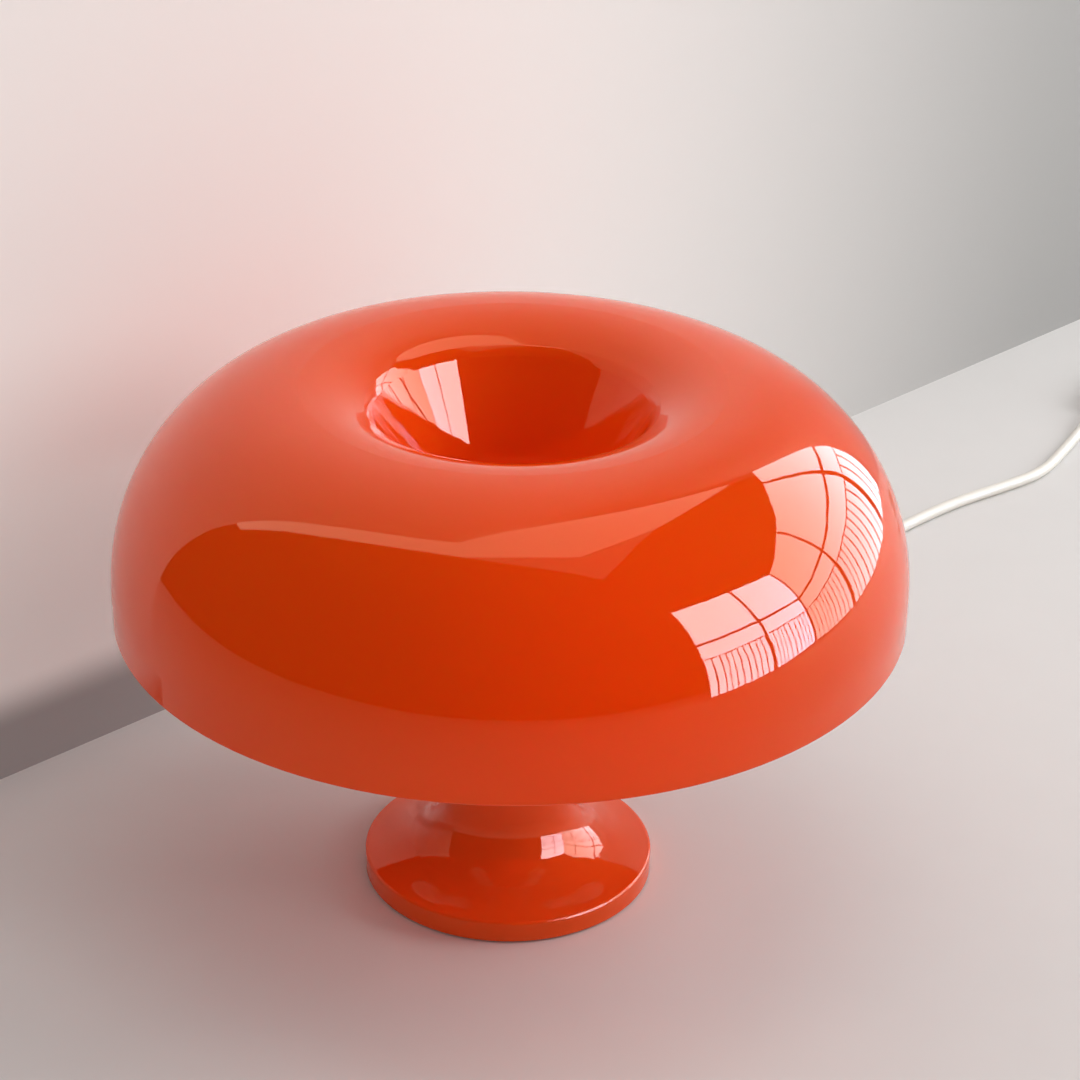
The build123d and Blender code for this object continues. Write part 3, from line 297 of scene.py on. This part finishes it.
nickel = new_material("nickel", (0.72, 0.71, 0.68), 0.16, Metallic=1.0)
grain = noise(nickel, 90, 3)
vary_roughness(nickel, grain, 0.12, 0.22)

cap_metal = new_material("cap_metal", (0.68, 0.68, 0.67), 0.3, Metallic=1.0)
grain = noise(cap_metal, 120, 3)
vary_color(cap_metal, grain, (0.62, 0.62, 0.61), (0.72, 0.72, 0.71))
vary_roughness(cap_metal, grain, 0.24, 0.38)

opal_glass = new_material(
    "opal_glass", (0.86, 0.86, 0.83), 0.22,
    Subsurface_Weight=0.3, Subsurface_Scale=0.003,
)
cloud = noise(opal_glass, 40, 2)
vary_color(opal_glass, cloud, (0.85, 0.85, 0.82), (0.87, 0.87, 0.85))

black_insulator = new_material("black_insulator", (0.012, 0.012, 0.014), 0.2)
grain = noise(black_insulator, 200, 2)
vary_roughness(black_insulator, grain, 0.16, 0.28)

for subpart in frame["record"]["subparts"]:
    for slot in nodes[subpart["node"]].material_slots:
        slot.material = finishes[subpart["material_slot"]]
for cord in (cord_to_switch, cord_to_plug):
    cord.data.materials.append(cord_plastic)

# Table and wall: the wall stands behind the lamp, turned to run away to the right. Its colour has painted
# shade: a darker band along its foot on the left, and its far right part painted darker. Both are clear
# from behind and from below.
WALL_FOOT = Vector((-0.227, 0.062, 0))
WALL_ALONG = Vector((0.722, 0.692, 0))
WALL_LEFT = 0.10
WALL_RIGHT = 3.50
WALL_H = 2.0
TABLE_REACH = 4.0

# Shares of the wall's height or length at which its painted shade begins and ends
FOOT_SHADE_Z = (0.012, 0.024)
FOOT_SHADE_X = (0.05, 0.13)
FAR_SHADE_X = (0.10, 0.26)
# The painted shade's colour at the wall's foot, the wall's own colour, and the painted shade's colour at
# its far right
FOOT_PAINTED_SHADE_COLOR = (0.36, 0.34, 0.34, 1)
WALL_TONE = (0.91, 0.895, 0.88, 1)
FAR_PAINTED_SHADE_COLOR = (0.42, 0.42, 0.415, 1)


def plane(name, corners, material):
    """A flat piece of the backdrop."""
    data = bpy.data.meshes.new(name)
    data.from_pydata([tuple(corner) for corner in corners], [], [tuple(range(len(corners)))])
    data.materials.append(material)
    made = bpy.data.objects.new(name, data)
    scene.collection.objects.link(made)
    return made


def ramp(material, source, socket, span, x, y):
    """A value that runs smoothly from 0 to 1 as the source runs over the span."""
    made = node(material, "ShaderNodeMapRange", x, y, interpolation_type="SMOOTHSTEP")
    made.inputs["From Min"].default_value, made.inputs["From Max"].default_value = span
    material.node_tree.links.new(source.outputs[socket], made.inputs["Value"])
    return made


def seen_from_the_front_only(material):
    """Makes a backdrop clear for whatever looks at it from behind or from below."""
    clear = node(material, "ShaderNodeBsdfTransparent", 0, -300)
    side = node(material, "ShaderNodeNewGeometry", 0, 600)
    choice = node(material, "ShaderNodeMixShader", 350, 200)
    links = material.node_tree.links
    links.new(side.outputs["Backfacing"], choice.inputs[0])
    links.new(material.node_tree.nodes["Principled BSDF"].outputs[0], choice.inputs[1])
    links.new(clear.outputs[0], choice.inputs[2])
    links.new(choice.outputs[0], material.node_tree.nodes["Material Output"].inputs["Surface"])


table_paint = new_material("table_paint", (0.74, 0.73, 0.72), 0.8, Specular_IOR_Level=0.0)
grain = noise(table_paint, 30, 3)
vary_color(table_paint, grain, (0.73, 0.72, 0.71), (0.75, 0.74, 0.73))

wall_paint = new_material("wall_paint", (0.80, 0.78, 0.76), 0.8, Specular_IOR_Level=0.0)
links = wall_paint.node_tree.links
spot = node(wall_paint, "ShaderNodeTexCoord", -1500, 300)
part = node(wall_paint, "ShaderNodeSeparateXYZ", -1300, 300)
links.new(spot.outputs["Generated"], part.inputs["Vector"])
# Painted shade: the wall's colour turns darker at its foot on the left and over its far right part
above = ramp(wall_paint, part, "Z", FOOT_SHADE_Z, -1100, 500)
beside = ramp(wall_paint, part, "X", FOOT_SHADE_X, -1100, 200)
away = ramp(wall_paint, part, "X", FAR_SHADE_X, -1100, -100)
# The painted shadow band at the foot lies where the wall is both low and on the left
outside_foot_shade = node(wall_paint, "ShaderNodeMath", -900, 400, operation="MAXIMUM")
links.new(above.outputs[0], outside_foot_shade.inputs[0])
links.new(beside.outputs[0], outside_foot_shade.inputs[1])
foot_painted_shade = node(wall_paint, "ShaderNodeMix", -600, 400, data_type="RGBA")
foot_painted_shade.inputs["A"].default_value = FOOT_PAINTED_SHADE_COLOR
foot_painted_shade.inputs["B"].default_value = WALL_TONE
links.new(outside_foot_shade.outputs[0], foot_painted_shade.inputs["Factor"])
# Painted shade over the wall's far right part, laid over the foot's painted shade
far_painted_shade = node(wall_paint, "ShaderNodeMix", -400, 400, data_type="RGBA")
far_painted_shade.inputs["B"].default_value = FAR_PAINTED_SHADE_COLOR
links.new(away.outputs[0], far_painted_shade.inputs["Factor"])
links.new(foot_painted_shade.outputs["Result"], far_painted_shade.inputs["A"])
wall_shader = wall_paint.node_tree.nodes["Principled BSDF"]
links.new(far_painted_shade.outputs["Result"], wall_shader.inputs["Base Color"])
seen_from_the_front_only(wall_paint)
seen_from_the_front_only(table_paint)

table_corners = ((-1, -1), (1, -1), (1, 1), (-1, 1))
plane("table", [(x * TABLE_REACH, y * TABLE_REACH, 0) for x, y in table_corners], table_paint)
wall_left = WALL_FOOT - WALL_ALONG * WALL_LEFT
wall_right = WALL_FOOT + WALL_ALONG * WALL_RIGHT
up = Vector((0, 0, WALL_H))
wall = plane("wall", [wall_left, wall_right, wall_right + up, wall_left + up], wall_paint)

# What the gloss sees: two glazed walls that meet in a corner on the right, with bars, a transom and
# a railing, and the ceiling. Each glazed wall has a way, a bay's width, a count of bays and a glow.
CORNER = Vector((2.39, -0.08, 0))
BAR = 0.035
GLASS_Z = (0.79, 1.49)
TRANSOM_Z = (0.54, 0.755)
RAIL_Z = (0.02, 0.525)
RAIL_GAPS = 10
RAIL_BAR = 0.014
GLAZED = (
    (Vector((-0.747, 0.665, 0)), 0.84, 3, (0.75, 0.85, 1.0), 8),
    (Vector((-0.700, -0.714, 0)), 0.72, 2, (0.42, 0.60, 1.0), 24),
)
CEILING_COLOR = (1.0, 0.97, 0.95)
CEILING_EDGE = ((-2.60, 0.74), (-0.30, -0.30), (0.42, -0.28), (0.80, 0.30))
CEILING = (*CEILING_EDGE, (1.14, 1.36), (-0.30, 0.0), (-2.60, 1.60))
CEILING_DIM = ((-0.30, -0.30), (0.70, -0.72), (0.80, 0.30), (0.42, -0.28))


def glowing(name, color, strength, in_gloss):
    """A material that gives off an even light, with another strength where a gloss sees it."""
    material = bpy.data.materials.new(name)
    material.use_nodes = True
    material.node_tree.nodes.clear()
    ray = node(material, "ShaderNodeLightPath", -400, 0)
    level = node(material, "ShaderNodeMapRange", -200, 0)
    level.inputs["To Min"].default_value = strength
    level.inputs["To Max"].default_value = in_gloss
    shine = node(material, "ShaderNodeEmission", 0, 0)
    shine.inputs["Color"].default_value = (*color, 1)
    end = node(material, "ShaderNodeOutputMaterial", 200, 0)
    links = material.node_tree.links
    links.new(ray.outputs["Is Glossy Ray"], level.inputs["Value"])
    links.new(level.outputs["Result"], shine.inputs["Strength"])
    links.new(shine.outputs[0], end.inputs["Surface"])
    return material


corners = []
sides = []
pane_mesh = bpy.data.meshes.new("window_panes")
for side, (way, bay, count, color, strength) in enumerate(GLAZED):
    pane_mesh.materials.append(glowing(f"window_glow_{side + 1}", color, 0, strength))
    for index in range(count):
        start = bay * index + BAR / 2
        end_at = bay * (index + 1) - BAR / 2
        panes = [(start, end_at, *GLASS_Z), (start, end_at, *TRANSOM_Z)]
        step = (end_at - start) / RAIL_GAPS
        for gap in range(RAIL_GAPS):
            near = start + step * gap
            panes.append((near + RAIL_BAR / 2, near + step - RAIL_BAR / 2, *RAIL_Z))
        for left, far, low, high in panes:
            corners += [raised(CORNER + way * left, low), raised(CORNER + way * far, low)]
            corners += [raised(CORNER + way * far, high), raised(CORNER + way * left, high)]
            sides.append(side)
quads = [tuple(range(first, first + 4)) for first in range(0, len(corners), 4)]
pane_mesh.from_pydata([tuple(corner) for corner in corners], [], quads)
pane_mesh.polygons.foreach_set("material_index", sides)
panes = bpy.data.objects.new("window_panes", pane_mesh)
scene.collection.objects.link(panes)
panes.visible_camera = False
panes.visible_diffuse = False


# The lit part of the ceiling, whose edge is seen across the shade's crown, and a dimmer part before it
for name, outline, strength, in_gloss in (
    ("ceiling", CEILING, 1.6, 2.3),
    ("ceiling_dim", CEILING_DIM, 1.0, 0.7),
):
    ceiling_glow = glowing(name + "_glow", CEILING_COLOR, strength, in_gloss)
    panel = plane(name, [(x, y, WALL_H) for x, y in outline], ceiling_glow)
    panel.visible_camera = False


def soft_light(name, place, toward, width, height, watts, color=(1, 1, 1)):
    """A rectangular light that faces that way and isn't seen itself."""
    data = bpy.data.lights.new(name, "AREA")
    data.shape = "RECTANGLE"
    data.size = width
    data.size_y = height
    data.energy = watts
    data.color = color
    lamp = bpy.data.objects.new(name, data)
    scene.collection.objects.link(lamp)
    lamp.location = place
    lamp.rotation_euler = Vector(toward).to_track_quat("-Z", "Y").to_euler()
    lamp.visible_glossy = False
    lamp.visible_camera = False
    return lamp


GLOW_COLOR = (1.0, 0.20, 0.04)
ROOM_COLOR = (0.95, 0.91, 0.89, 1)
ROOM_STRENGTH = 0.43
ROOM_IN_GLOSS = 0.015

# The windows' own soft light, the light that the shade's translucent front passes on from inside, and
# a light for the low left of the wall alone
soft_light("window_light_right", (1.45, 0.76, 1.0), (-1.45, -0.71, -0.85), 2.4, 1.2, 38)
soft_light("window_light_front", (1.89, -0.59, 1.0), (-1.89, 0.64, -0.85), 1.4, 1.2, 6)
soft_light("inner_light", (0.03, -0.085, 0.150), (0.15, -1, 0.10), 0.07, 0.03, 0.07, GLOW_COLOR)
wall_light = soft_light(
    "wall_light", (-0.10, -0.45, 0.30), (-0.20, 0.48, -0.20), 0.3, 0.3, 0.45, (1.0, 0.99, 0.97)
)
wall_alone = bpy.data.collections.new("wall_alone")
wall_alone.objects.link(wall)
wall_light.light_linking.receiver_collection = wall_alone
wall_light.data.use_shadow = False

# The rest of the room, which the gloss sees as dark
world = bpy.data.worlds.new("room")
world.use_nodes = True
dim = world.node_tree.nodes["Background"]
dim.inputs["Color"].default_value = ROOM_COLOR
ray_kind = world.node_tree.nodes.new("ShaderNodeLightPath")
room_light = world.node_tree.nodes.new("ShaderNodeMapRange")
room_light.inputs["To Min"].default_value = ROOM_STRENGTH
room_light.inputs["To Max"].default_value = ROOM_IN_GLOSS
world.node_tree.links.new(ray_kind.outputs["Is Glossy Ray"], room_light.inputs["Value"])
world.node_tree.links.new(room_light.outputs["Result"], dim.inputs["Strength"])
scene.world = world

scene.view_settings.view_transform = "Standard"

bpy.context.view_layer.update()
